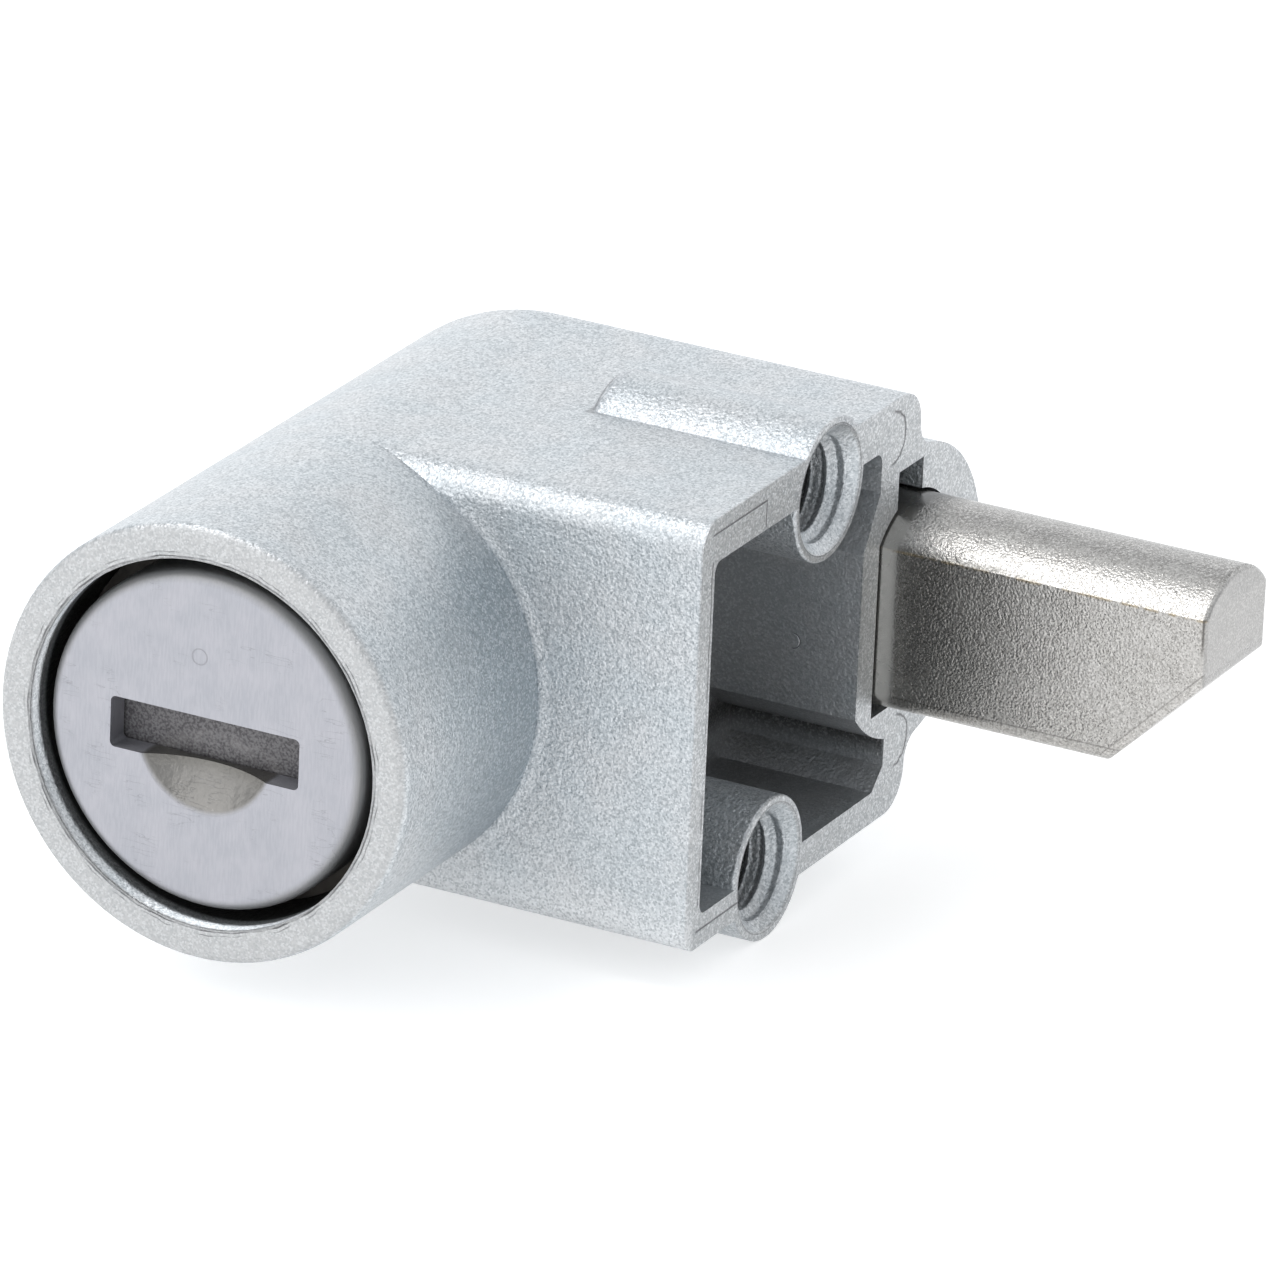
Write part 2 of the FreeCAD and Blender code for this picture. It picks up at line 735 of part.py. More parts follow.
def coil(name, rotation, place, length, radius, wire, turns):
    """A round-wire spring: a circle swept along a helix that starts at place."""
    helix = doc.addObject("Part::Helix", name + "_path")
    helix.Placement.Rotation = rotation
    helix.setExpression("Radius", tie(radius))
    helix.setExpression("Height", tie(length))
    helix.setExpression("Pitch", tie(f"({length}) / ({turns})"))
    section = doc.addObject("Part::Circle", name + "_wire")
    section.Placement.Rotation = rotation * Rotation(Vector(1, 0, 0), 90)
    section.setExpression("Radius", tie(wire))
    offset = rotation.multVec(Vector(1, 0, 0))
    for axis, formula, part in zip("xyz", place, offset):
        helix.setExpression(f"Placement.Base.{axis}", tie(formula))
        section.setExpression(f"Placement.Base.{axis}", tie(f"({formula}) + ({radius}) * {round(part)}"))
    sweep = doc.addObject("Part::Sweep", name)
    sweep.Sections = [section]
    sweep.Spine = (helix, ["Edge1"])
    sweep.Solid = True
    sweep.Frenet = True
    return sweep


# Key cylinder

def make_shell():
    tube = cylinder_along_y("shell_tube", "shell_outer_radius", "shell_start", "shell_end")
    hollow = cylinder_along_y("shell_hollow", "shell_inner_radius", "shell_start - 1", "shell_end + 1")
    groove_length = ("first_wafer_y - groove_room", "last_wafer_end + groove_room")
    wide = both_sides("groove_radius")
    narrow = both_sides("groove_half_height")
    grooves = [
        block_between("grooves_at_rest", wide, groove_length, narrow),
        block_between("grooves_turned", narrow, groove_length, wide),
    ]
    pin_hole = cylinder_along_x(
        "shell_pin_way",
        "shell_pin_radius",
        "shell_pin_start",
        "bore_radius + 1",
        "shell_pin_y",
        "-shell_pin_z",
    )
    return carved("cylinder_shell", tube, [hollow, *grooves, pin_hole])


def make_shell_pin():
    return cylinder_along_x(
        "shell_pin",
        "shell_pin_radius - fixed_clearance",
        "shell_pin_start",
        "shell_pin_end",
        "shell_pin_y",
        "-shell_pin_z",
    )


def wafer_start(number):
    return f"first_wafer_y + wafer_pitch * {number}"


def push_direction(number):
    """Wafers are pushed out to the right and to the left by turns."""
    return 1 if number % 2 == 0 else -1


def along_push(number, low, high):
    """Low and high ends of a stretch along X, mirrored for the wafers pushed to the left."""
    if push_direction(number) > 0:
        return low, high
    return f"-({high})", f"-({low})"


def make_plug():
    head = cylinder_along_y("plug_head", "head_radius", "cap_back", "head_end")
    core = cylinder_along_y("plug_core", "plug_radius", "cap_back", "plug_end")
    square = both_sides("square_tail / 2")
    tail = block_between("plug_square", square, ("plug_end", "tail_end"), square)
    solid = fused("plug_blank", [head, core, tail])

    keyway = block_between(
        "keyway",
        both_sides("half_slot_width + wafer_clearance"),
        ("cap_back - 1", "keyway_end"),
        both_sides("half_slot_height + wafer_clearance"),
    )
    recess = block_between(
        "shutter_recess",
        both_sides("recess_half_width"),
        ("cap_back - 1", "recess_end"),
        ("-recess_bottom", "recess_top"),
    )
    half_pin = "shutter_pin_length / 2 + turning_clearance"
    pin_way = cylinder_along_x(
        "shutter_pin_way",
        "shutter_pin_radius + fixed_clearance",
        *both_sides(half_pin),
        "shutter_pin_y",
        "shutter_pin_z",
    )
    tools = [keyway, recess, pin_way]
    for number in range(int(DRIVING["wafer_count"])):
        start = wafer_start(number)
        stretch = (f"{start} - wafer_clearance", f"{start} + wafer_thickness + wafer_clearance")
        slot_height = both_sides("wafer_top + wafer_clearance")
        slot_width = both_sides("plug_radius + 1")
        tools.append(block_between(f"wafer_slot_{number + 1}", slot_width, stretch, slot_height))
        ear_room = along_push(
            number,
            "wafer_ear_side - wafer_spring_length",
            "wafer_ear_side + wafer_ear_width + wafer_travel + 2 * wafer_clearance",
        )
        ear_height = ("nought", "ear_top + wafer_clearance")
        tools.append(block_between(f"ear_room_{number + 1}", ear_room, stretch, ear_height))
    groove_end = "clip_end + turning_clearance"
    ring = cylinder_along_y("clip_groove_outside", "plug_radius + 1", "clip_start", groove_end)
    root = cylinder_along_y("clip_groove_root", "clip_root_radius", "clip_start - 1", "clip_end + 1")
    tools.append(carved("clip_groove", ring, [root]))
    hole_start = "washer_end - screw_length - turning_clearance"
    tools.append(cylinder_along_y("screw_way", "screw_radius + fixed_clearance", hole_start, "tail_end + 1"))
    return carved("key_plug", solid, tools)


def make_clip():
    disc = cylinder_along_y("clip_disc", "plug_radius + clip_overhang", "clip_start", "clip_end")
    through = ("clip_start - 1", "clip_end + 1")
    middle = cylinder_along_y("clip_middle", "clip_root_radius + fixed_clearance", *through)
    gap = block_between("clip_mouth", both_sides("clip_gap / 2"), through, ("-barrel_radius", "nought"))
    return carved("plug_clip", disc, [middle, gap])


def make_cap():
    body = new_body("face_cap")

    profile = new_sketch(body, "cap_profile", "XY_Plane")
    add_outline(
        profile,
        [
            ("nought", "cap_recess"),
            ("cap_radius", "cap_recess"),
            ("cap_radius", "cap_skirt_end"),
            ("cap_inner_radius", "cap_skirt_end"),
            ("cap_inner_radius", "cap_back"),
            ("nought", "cap_back"),
        ],
    )
    turn(body, "cap_cup", profile, "V_Axis")

    def front_rim(edge):
        point = middle_of(edge)
        return near(point.y, "cap_recess") and abs(edge.BoundBox.YLength) < 0.01

    dress(body, "Fillet", "cap_rim", front_rim, "cap_rim_round")

    dish = new_sketch(body, "key_guide_profile", "XY_Plane")
    add_outline(
        dish,
        [
            ("nought", "nought"),
            ("guide_dish_radius", "nought"),
            ("~guide_dish_radius", "cap_recess"),
            ("nought", "~dish_bottom"),
        ],
        {2: (("nought", "dish_centre_y"), "dish_sphere_radius", True)},
    )
    hollow = body.newObject("PartDesign::Groove", "key_guide")
    hollow.Profile = dish
    hollow.ReferenceAxis = (dish, ["V_Axis"])
    hollow.Angle = 180
    settle(hollow)

    slot = new_sketch(body, "key_slot_outline", "XZ_Plane")
    rectangle(slot, "-half_slot_width", "-half_slot_height", "half_slot_width", "half_slot_height")
    pocket(body, "key_slot", slot)

    def slot_corner(edge):
        point = middle_of(edge)
        return near(abs(point.x), "half_slot_width") and near(abs(point.z), "half_slot_height")

    dress(body, "Fillet", "slot_corners", slot_corner, "slot_corner_round")
    return body


def make_cam():
    disc = cylinder_along_y("cam_disc", "cam_radius", "plug_end", "tail_end")
    finger = cylinder_along_y(
        "cam_finger", "finger_radius", "plug_end", "finger_end", "finger_side", "finger_side"
    )
    square = both_sides("square_tail / 2 + fixed_clearance")
    hole = block_between("cam_square", square, ("plug_end - 1", "tail_end + 1"), square)
    return carved("drive_cam", fused("cam_blank", [disc, finger]), [hole])


def make_washer():
    disc = cylinder_along_y("washer_disc", "washer_radius", "tail_end", "washer_end")
    through = ("tail_end - 1", "washer_end + 1")
    hole = cylinder_along_y("washer_hole", "screw_radius + turning_clearance", *through)
    return carved("cam_washer", disc, [hole])


def make_screw():
    shank = cylinder_along_y("screw_shank", "screw_radius", "washer_end - screw_length", "washer_end")
    head = cylinder_along_y("screw_head", "screw_head_radius", "washer_end", "screw_head_end")
    slot = block_between(
        "screw_slot",
        both_sides("screw_head_radius + 1"),
        ("screw_head_end - screw_slot_depth", "screw_head_end + 1"),
        both_sides("screw_slot_width / 2"),
    )
    return carved("cam_screw", fused("screw_blank", [shank, head]), [slot])


# Wafers and their springs

def make_wafer(number):
    name = f"wafer_{number + 1}"
    start = wafer_start(number)
    stretch = (start, f"{start} + wafer_thickness")
    long_way = (f"{start} - 1", f"{start} + wafer_thickness + 1")
    round_blank = cylinder_along_y(f"{name}_round", "plug_radius - fixed_clearance", *stretch)
    strip = block_between(f"{name}_strip", both_sides("plug_radius"), long_way, both_sides("wafer_top"))
    plate = doc.addObject("Part::Common", f"{name}_plate")
    plate.Base = round_blank
    plate.Tool = strip
    ear_across = along_push(number, "wafer_ear_side", "wafer_ear_side + wafer_ear_width")
    ear = block_between(f"{name}_ear", ear_across, stretch, ("wafer_top - wafer_clearance", "ear_top"))
    window_width = both_sides("wafer_window_width / 2")
    window_height = both_sides("wafer_window_height / 2")
    window = block_between(f"{name}_window", window_width, long_way, window_height)
    return carved(name, fused(f"{name}_blank", [plate, ear]), [window])


def make_wafer_spring(number):
    low, _ = along_push(
        number,
        "wafer_ear_side - wafer_spring_length + wafer_wire_radius",
        "wafer_ear_side - wafer_wire_radius",
    )
    place = (low, f"{wafer_start(number)} + wafer_thickness / 2", "wafer_top + wafer_ear_height / 2")
    return coil(
        f"wafer_spring_{number + 1}",
        Rotation(Vector(0, 1, 0), 90),
        place,
        "wafer_spring_length - 2 * wafer_wire_radius",
        "wafer_coil_radius",
        "wafer_wire_radius",
        "wafer_spring_turns",
    )


# Dust shutter

def make_shutter():
    width = both_sides("shutter_half_width")
    depth = ("shutter_front", "shutter_back")
    plate = block_between("shutter_plate", width, depth, ("-shutter_low", "shutter_pin_z"))
    pin_place = ("shutter_pin_y", "shutter_pin_z")
    knuckle = cylinder_along_x("shutter_knuckle", "shutter_knuckle_radius", *width, *pin_place)
    coil_gap = block_between(
        "shutter_coil_gap",
        both_sides("shutter_coil_width / 2"),
        ("shutter_front - 1", "recess_end"),
        ("shutter_pin_z - shutter_knuckle_radius - shutter_gap", "recess_top"),
    )
    pin_way = cylinder_along_x(
        "shutter_bore",
        "shutter_pin_radius + turning_clearance",
        *both_sides("recess_half_width"),
        *pin_place,
    )
    return carved("dust_shutter", fused("shutter_blank", [plate, knuckle]), [coil_gap, pin_way])


def make_shutter_pin():
    half = both_sides("shutter_pin_length / 2")
    return cylinder_along_x("shutter_pin", "shutter_pin_radius", *half, "shutter_pin_y", "shutter_pin_z")


def make_shutter_spring():
    """A coil round the pin, with one leg on the shutter's back and one under the recess roof."""
    half_coil = "shutter_coil_width / 2 - 2 * shutter_wire_radius"
    turns = coil(
        "shutter_coil",
        Rotation(Vector(0, 1, 0), 90),
        (f"-({half_coil})", "shutter_pin_y", "shutter_pin_z"),
        f"2 * ({half_coil})",
        "shutter_coil_radius",
        "shutter_wire_radius",
        "shutter_coil_turns",
    )
    down_leg = doc.addObject("Part::Cylinder", "shutter_down_leg")
    down_leg.setExpression("Radius", tie("shutter_wire_radius"))
    down_leg.setExpression("Height", tie("shutter_reach - shutter_overlap - shutter_coil_radius"))
    down_leg.setExpression("Placement.Base.x", tie(f"-({half_coil})"))
    down_leg.setExpression("Placement.Base.y", tie("shutter_back + shutter_wire_radius"))
    down_leg.setExpression("Placement.Base.z", tie("-shutter_low + shutter_overlap"))
    back_leg = cylinder_along_y(
        "shutter_back_leg",
        "shutter_wire_radius",
        "shutter_pin_y",
        "recess_end",
        half_coil,
        "shutter_pin_z + shutter_coil_radius",
    )
    return fused("shutter_spring", [turns, down_leg, back_leg])


def make_bolt_spring():
    return coil(
        "bolt_spring",
        Rotation(Vector(0, 1, 0), 90),
        ("-tail_channel_end + spring_wire_radius", "spring_hole_y", "-spring_hole_z"),
        "tail_channel_end + lug_left + spring_hole_depth - 2 * spring_wire_radius",
        "spring_coil_radius",
        "spring_wire_radius",
        "spring_turns",
    )


def check_and_export(pieces):
    doc.recompute()
    for item in doc.Objects:
        if "Invalid" in item.State or "Error" in item.State:
            raise RuntimeError(f"{item.Name} did not build")
    for piece in pieces:
        if piece.Shape.isNull() or not piece.Shape.isValid() or piece.Shape.Volume <= 0:
            raise RuntimeError(f"{piece.Label} has no sound shape")
    os.makedirs("parts", exist_ok=True)
    for piece in pieces:
        piece.Shape.exportStep(f"parts/{piece.Label}.step")
        print(f"{piece.Label:18s} {piece.Shape.Volume:10.2f} mm3")


write_sheet()
wafer_numbers = range(int(DRIVING["wafer_count"]))
pieces = [
    make_housing(),
    make_bolt(),
    make_shell(),
    make_shell_pin(),
    make_plug(),
    make_clip(),
    make_cap(),
    make_cam(),
    make_washer(),
    make_screw(),
    make_shutter(),
    make_shutter_pin(),
    make_shutter_spring(),
    make_bolt_spring(),
    *[make_wafer(number) for number in wafer_numbers],
    *[make_wafer_spring(number) for number in wafer_numbers],
]
check_and_export(pieces)
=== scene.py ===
# %% [markdown]
# # A lock for a bicycle battery
# The lock has a round barrel with a key cylinder, a square cast block behind it, and a
# bolt that slides out sideways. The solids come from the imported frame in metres. This
# lesson gives them their metal finishes, adds the screw threads, and lights them.

import json
import math

import bpy
import numpy as np
from mathutils import Matrix, Vector


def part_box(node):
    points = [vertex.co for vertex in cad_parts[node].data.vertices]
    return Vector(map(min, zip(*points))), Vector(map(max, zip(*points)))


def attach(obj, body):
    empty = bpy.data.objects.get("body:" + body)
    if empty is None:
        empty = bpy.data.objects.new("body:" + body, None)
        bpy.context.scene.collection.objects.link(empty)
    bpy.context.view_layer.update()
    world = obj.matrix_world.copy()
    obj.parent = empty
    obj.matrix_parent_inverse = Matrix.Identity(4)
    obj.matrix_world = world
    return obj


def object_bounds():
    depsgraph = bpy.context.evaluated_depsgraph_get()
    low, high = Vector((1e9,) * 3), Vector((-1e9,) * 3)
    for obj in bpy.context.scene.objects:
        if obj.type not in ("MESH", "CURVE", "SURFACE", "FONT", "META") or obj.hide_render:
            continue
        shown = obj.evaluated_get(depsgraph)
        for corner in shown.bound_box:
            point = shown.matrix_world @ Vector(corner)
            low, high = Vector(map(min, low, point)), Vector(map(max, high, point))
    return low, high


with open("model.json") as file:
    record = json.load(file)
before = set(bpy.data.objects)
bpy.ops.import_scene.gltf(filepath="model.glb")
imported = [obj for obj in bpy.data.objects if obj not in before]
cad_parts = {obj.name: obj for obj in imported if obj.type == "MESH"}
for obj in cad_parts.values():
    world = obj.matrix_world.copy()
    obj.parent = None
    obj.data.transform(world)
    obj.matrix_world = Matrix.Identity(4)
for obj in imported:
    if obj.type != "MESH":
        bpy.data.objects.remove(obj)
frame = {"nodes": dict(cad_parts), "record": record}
loaded_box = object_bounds()
MM = 0.001

# %% [markdown]
# ## Measures taken from the frame
# A finish often changes at a place on the part, such as the edge of the block or the rim
# of the bore. Some of those places are read from the frame's boxes and mounts, so they
# follow the solids, and the others are given in millimetres.

# %% Measures in millimetres
house_low, house_high = (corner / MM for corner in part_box("housing"))
bolt_low, bolt_high = (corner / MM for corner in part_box("bolt"))
cap_low, cap_high = (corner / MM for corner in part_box("face_cap"))
mounts = {mount["name"]: mount for mount in frame["record"]["mounts"]}

barrel_radius = mounts["barrel"]["dims"]["r_mm"]
end_plane = house_high.x
cap_radius = cap_high.x
cap_face = cap_low.y
bore_radius = 8.45
bore_end = 30.0
block_front = 12.0
pocket_front = 13.1
pocket_back = 30.8
pocket_floor = 9.9
pocket_half_height = 8.55
hole_radius = mounts["upper_screw_hole"]["dims"]["r_mm"]
thread_start = end_plane - 0.46
thread_end = end_plane - 9.1
print("end plane", round(end_plane, 2), "cap radius", round(cap_radius, 2), "mm")

# %% [markdown]
# ## Formulas for shaders
# A shader is a formula over the surface. Node trees are hard to read when each sum needs
# three lines, so a small class wraps a socket and gives it the usual signs of arithmetic.
# Every sign adds one Math node, and colours go through Mix nodes instead.


# %% A socket that can be used in a formula
class Value:
    """A number that changes over the surface, as the output of a node."""

    def __init__(self, finish, socket):
        self.finish = finish
        self.socket = socket

    def math(self, operation, *others):
        return self.finish.node("ShaderNodeMath", {"operation": operation}, [self, *others])

    def __add__(self, other):
        return self.math("ADD", other)

    def __sub__(self, other):
        return self.math("SUBTRACT", other)

    def __mul__(self, other):
        return self.math("MULTIPLY", other)

    def __pow__(self, other):
        return self.math("POWER", other)

    def __rsub__(self, other):
        return self.finish.node("ShaderNodeMath", {"operation": "SUBTRACT"}, [other, self])

    __radd__ = __add__
    __rmul__ = __mul__

    def size(self):
        return self.math("ABSOLUTE")

    def most(self, other):
        return self.math("MAXIMUM", other)

    def least(self, other):
        return self.math("MINIMUM", other)

    def rise(self, low, high):
        """0 below low, 1 above high, and a smooth slope between them."""
        settings = {"interpolation_type": "SMOOTHSTEP"}
        return self.finish.node("ShaderNodeMapRange", settings, {0: self, 1: low, 2: high})

    def near(self, place, reach):
        """1 at place, falling smoothly to 0 at that reach on both sides."""
        return 1.0 - (self - place).size().rise(0.0, reach)


# %% [markdown]
# ## A finish
# Each metal is one material with one Principled shader. The place on the part comes from
# Object coordinates, because the nodes' meshes lie where the part is, and is turned into
# millimetres so that a grain of 0.1 mm is written as 0.1.


# %% A helper that builds one finish
class Finish:
    """One material: its coordinates in millimetres, its patterns and its shader."""

    def __init__(self, name, **uniform):
        self.material = bpy.data.materials.new(name)
        self.material.use_nodes = True
        self.tree = self.material.node_tree
        self.shader = self.tree.nodes["Principled BSDF"]
        for socket, amount in uniform.items():
            self.shader.inputs[socket.replace("_", " ")].default_value = amount
        place = self.tree.nodes.new("ShaderNodeTexCoord").outputs["Object"]
        self.place = self.node("ShaderNodeVectorMath", {"operation": "SCALE"}, {0: place, 3: 1 / MM})
        split = self.tree.nodes.new("ShaderNodeSeparateXYZ")
        self.tree.links.new(self.place.socket, split.inputs[0])
        self.x, self.y, self.z = (Value(self, output) for output in split.outputs)

    def node(self, kind, settings, inputs, output=0):
        """Add one node: settings first, then the values or links of its sockets."""
        made = self.tree.nodes.new(kind)
        for name, setting in settings.items():
            setattr(made, name, setting)
        pairs = inputs.items() if isinstance(inputs, dict) else enumerate(inputs)
        for key, given in pairs:
            if isinstance(given, Value):
                given = given.socket
            if isinstance(given, bpy.types.NodeSocket):
                self.tree.links.new(given, made.inputs[key])
            else:
                made.inputs[key].default_value = given
        return Value(self, made.outputs[output])

    def noise(self, grain, detail=2.0, stretch=(1, 1, 1)):
        """Soft random hills about as wide as grain, in millimetres, from 0 to 1."""
        place = self.place
        if stretch != (1, 1, 1):
            factors = {0: place, 1: stretch}
            place = self.node("ShaderNodeVectorMath", {"operation": "MULTIPLY"}, factors)
        return self.node("ShaderNodeTexNoise", {}, {"Vector": place, "Scale": 1 / grain, "Detail": detail})

    def crystals(self, grain):
        """A random level for each of many small crystals, about grain wide."""
        sockets = {"Vector": self.place, "Scale": 1 / grain}
        return self.node("ShaderNodeTexVoronoi", {}, sockets, "Color")

    def away(self, x=None, y=None, z=None):
        """Distance from a point, or from a line where one of the three places is left out."""
        total = 0.0
        for here, there in ((self.x, x), (self.y, y), (self.z, z)):
            if there is not None:
                total = (here - there) ** 2.0 + total
        return total ** 0.5

    def blend(self, share, first, second):
        """A colour between two others."""
        settings = {"data_type": "RGBA", "clamp_factor": True}
        colours = [given if isinstance(given, Value) else (*given, 1.0) for given in (first, second)]
        return self.node("ShaderNodeMix", settings, {0: share, 6: colours[0], 7: colours[1]}, 2)

    def feed(self, socket, value):
        self.tree.links.new(value.socket, self.shader.inputs[socket])

    def relief(self, height):
        """Height in millimetres, felt by the light as bumps."""
        bump = self.node("ShaderNodeBump", {}, {"Strength": 1.0, "Distance": MM, "Height": height})
        self.feed("Normal", bump)

    def coat(self, *nodes):
        """Give this finish to CAD nodes."""
        for name in nodes:
            node = frame["nodes"][name]
            node.data.materials.clear()
            node.data.materials.append(self.material)
        print(self.material.name, "on", ", ".join(nodes))


# %% [markdown]
# ## Zinc casting
# The housing is a zinc die casting with a pale blue-white zinc plate. Blasting and
# plating leave a grain of about a tenth of a millimetre whose tips sparkle and whose pits
# stay dark. The grain could be modelled, but it is finer than any sensible mesh, so it is
# relief and colour in the shader: crystals of random brightness over soft hills.

# %% Grain and faces of the casting
zinc = Finish("zinc_casting", Metallic=0.82)
crystals = zinc.crystals(0.085)
fine_grain = zinc.noise(0.15, 2.0)
coarse_grain = zinc.noise(0.35, 2.0)
patches = zinc.noise(3.2, 3.0)
bore_distance = zinc.away(x=0.0, z=0.0)
on_end_face = zinc.x.rise(end_plane - 0.12, end_plane - 0.03)
on_ring_face = 1.0 - zinc.y.rise(0.05, 0.3)
print("two grains on", zinc.material.name)

# %% [markdown]
# The hollows get painted shade. The walls of the end pocket are painted darker and
# browner than the outside, more so the deeper they lie, the screw holes and a band low at
# the pocket's back are painted darker still, and the bore is painted almost black a
# millimetre in. The bosses stand proud of the pocket's walls and are kept out of the
# pocket's shade.

# %% Where the hollows get painted shade
upper_hole = Vector(mounts["upper_screw_hole"]["pos_m"]) / MM
lower_hole = Vector(mounts["lower_screw_hole"]["pos_m"]) / MM
boss_radius = 3.3
off_bosses = 1.0
for hole in (upper_hole, lower_hole):
    off_bosses = zinc.away(y=hole.y, z=hole.z).rise(boss_radius + 0.02, boss_radius + 0.08) * off_bosses
behind_front_wall = zinc.y.rise(pocket_front, pocket_front + 0.05)
before_back_wall = 1.0 - zinc.y.rise(pocket_back, pocket_back + 0.05)
between_top_and_foot = 1.0 - zinc.z.size().rise(pocket_half_height, pocket_half_height + 0.05)
in_pocket = behind_front_wall * before_back_wall * zinc.x.rise(pocket_floor, pocket_floor + 0.1)
in_pocket = in_pocket * between_top_and_foot * (1.0 - on_end_face) * off_bosses
pocket_depth = 1.0 - zinc.x.rise(10.0, end_plane + 2.0)
on_bore = 1.0 - bore_distance.rise(bore_radius + 0.02, bore_radius + 0.05)
painted_shade_in_bore = on_bore * zinc.y.rise(1.15, 1.5)
painted_shade_in_bore = painted_shade_in_bore * (1.0 - zinc.y.rise(bore_end, bore_end + 1.0))
lip = on_bore * (1.0 - zinc.y.rise(0.0, 0.9))
painted_shade_in_holes = 0.0
for hole in (upper_hole, lower_hole):
    past_wall = zinc.away(y=hole.y, z=hole.z).rise(hole_radius, hole_radius + 0.04)
    painted_shade_in_holes = 1.0 - (1.0 - painted_shade_in_holes) * past_wall
painted_shade_in_holes = painted_shade_in_holes * (1.0 - zinc.x.rise(end_plane - 3.0, end_plane - 0.5))
painted_shade_in_holes = painted_shade_in_holes * zinc.x.rise(thread_end, thread_end + 0.2)
low_shadow = zinc.z.near(-6.2, 1.3) * zinc.y.rise(27.4, 27.9) * in_pocket
print("pocket from", pocket_front, "to", pocket_back, "mm back, bore to", bore_end, "mm")

# %% [markdown]
# The barrel meets the block's front in a soft hollow, as castings need. It is a height
# that rises toward the joint on both faces and turns the light as a rounded corner would.
# The barrel's side next to it is painted darker and bluer, painted shade where it sees
# only the block, and the foot of the front face is painted lighter, painted light that
# stands in for the bright floor it mirrors.

# %% Hollow at the joint, with painted shade and painted light beside it
from_joint = bore_distance - barrel_radius
past_joint = from_joint.rise(0.0, 0.02)
hollow_block = (1.0 - from_joint.rise(0.0, 0.7)) * past_joint * zinc.y.near(block_front, 0.2)
hollow_barrel = zinc.y.rise(block_front - 0.8, block_front) * (1.0 - past_joint)
joint_height = (hollow_block + hollow_barrel * zinc.x.rise(0.0, 2.0)) * 0.08
painted_shade_beside_joint = zinc.y.rise(1.0, 10.5) * (1.0 - past_joint) * zinc.x.rise(5.5, 8.5)
painted_shade_beside_joint = painted_shade_beside_joint * (1.0 - zinc.y.rise(block_front, block_front + 0.5))
on_front = 1.0 - zinc.y.rise(block_front + 0.3, block_front + 0.8)
painted_light_front_foot = (1.0 - zinc.z.rise(-9.6, -7.0)) * past_joint * on_front
print("hollow where the barrel of radius", barrel_radius, "mm meets the block")

# %% [markdown]
# Lines on the casting come from its mould and its tools: a fine burr round the mouth of
# the bore and along the pocket's front edge, straight seams on the end face, and the arcs
# that two round ejector pins pressed beside the bolt's window.


# %% Lines and prints
def seam(along, across, place, first, last):
    """A fine straight line on the end face: across is at place, along runs from first to last."""
    stretch = along.rise(first - 0.1, first) * (1.0 - along.rise(last, last + 0.1))
    return across.near(place, 0.09) * stretch * on_end_face


def pin_print(middle_y, middle_z, radius):
    """The right half of a ring on the end face, a little uneven."""
    wobble = (coarse_grain - 0.5) * 0.25
    ring = (zinc.away(y=middle_y, z=middle_z) + wobble).near(radius, 0.11)
    return ring * on_end_face * zinc.y.rise(middle_y - 0.3, middle_y + 0.4)


wander = (zinc.noise(1.1, 2.0) - 0.5) * 0.16
patchy = zinc.noise(1.3, 2.0).rise(0.38, 0.62)
mouth = bore_distance + wander
inner_burr = mouth.near(bore_radius + 0.1, 0.06) * (patchy * 0.5 + 0.4) * on_ring_face
outer_burr = (mouth + wander).near(bore_radius + 0.28, 0.045) * patchy * 0.5 * on_ring_face
pocket_burr = seam(zinc.z, zinc.y + wander, 13.0, -8.0, 8.0) * patchy * 0.7
seams = seam(zinc.y, zinc.z, 9.3, 13.0, 17.9).most(seam(zinc.z, zinc.y, 17.95, 8.1, 9.3))
seams = seams.most(seam(zinc.y, zinc.z, -9.2, 13.0, 17.0)) * 0.85
prints = pin_print(30.07, 8.23, 1.24).most(pin_print(31.76, -6.7, 1.24)) * 0.8
guide_scratch = zinc.away(x=14.4, z=-1.25).near(0.36, 0.05) * zinc.x.rise(14.3, 14.5) * in_pocket
lines = inner_burr.most(outer_burr).most(pocket_burr).most(seams).most(prints).most(guide_scratch * 0.7)
boss_ring = 0.0
for hole in (upper_hole, lower_hole):
    boss_ring = zinc.away(y=hole.y, z=hole.z).near(2.98, 0.06) * on_end_face + boss_ring
lines = lines.most(boss_ring * 0.45)
print("three seams, two pin prints and the burrs")

# %% [markdown]
# A dark line of painted shade runs along the crease where the upper boss rises out of the
# top, along its back and round its rounded end, and the boss's back flank and rounded end
# get painted shade too. The boss's axis lies below the top, so its outline there is
# narrower than the boss itself.

# %% Painted shade round the upper boss
boss_start = 6.9
outline_half = math.sqrt(boss_radius ** 2 - (barrel_radius - upper_hole.z) ** 2)
aside = (zinc.y - upper_hole.y).size() - outline_half
before_boss = boss_start + 0.25 - zinc.x
on_top = zinc.z.rise(barrel_radius - 0.1, barrel_radius - 0.02)
boss_line = aside.most(before_boss).near(0.12, 0.3) * on_top
boss_line = boss_line * zinc.x.rise(boss_start - 0.6, boss_start - 0.3) * (1.0 - on_end_face)
behind_boss = zinc.y.rise(upper_hole.y - 2.0, upper_hole.y)
painted_crease_shade = boss_line * (behind_boss * 0.55 + (1.0 - zinc.x.rise(boss_start, boss_start + 1.2)) * 0.6).least(0.8)
above_top = zinc.z.rise(barrel_radius + 0.02, barrel_radius + 0.12)
boss_shade = above_top * zinc.y.rise(upper_hole.y + 0.1, upper_hole.y + 1.1)
boss_shade = boss_shade.most(above_top * (1.0 - zinc.x.rise(boss_start + 0.4, boss_start + 1.1)))
print("the boss is", round(2 * outline_half, 2), "mm wide where it leaves the top")
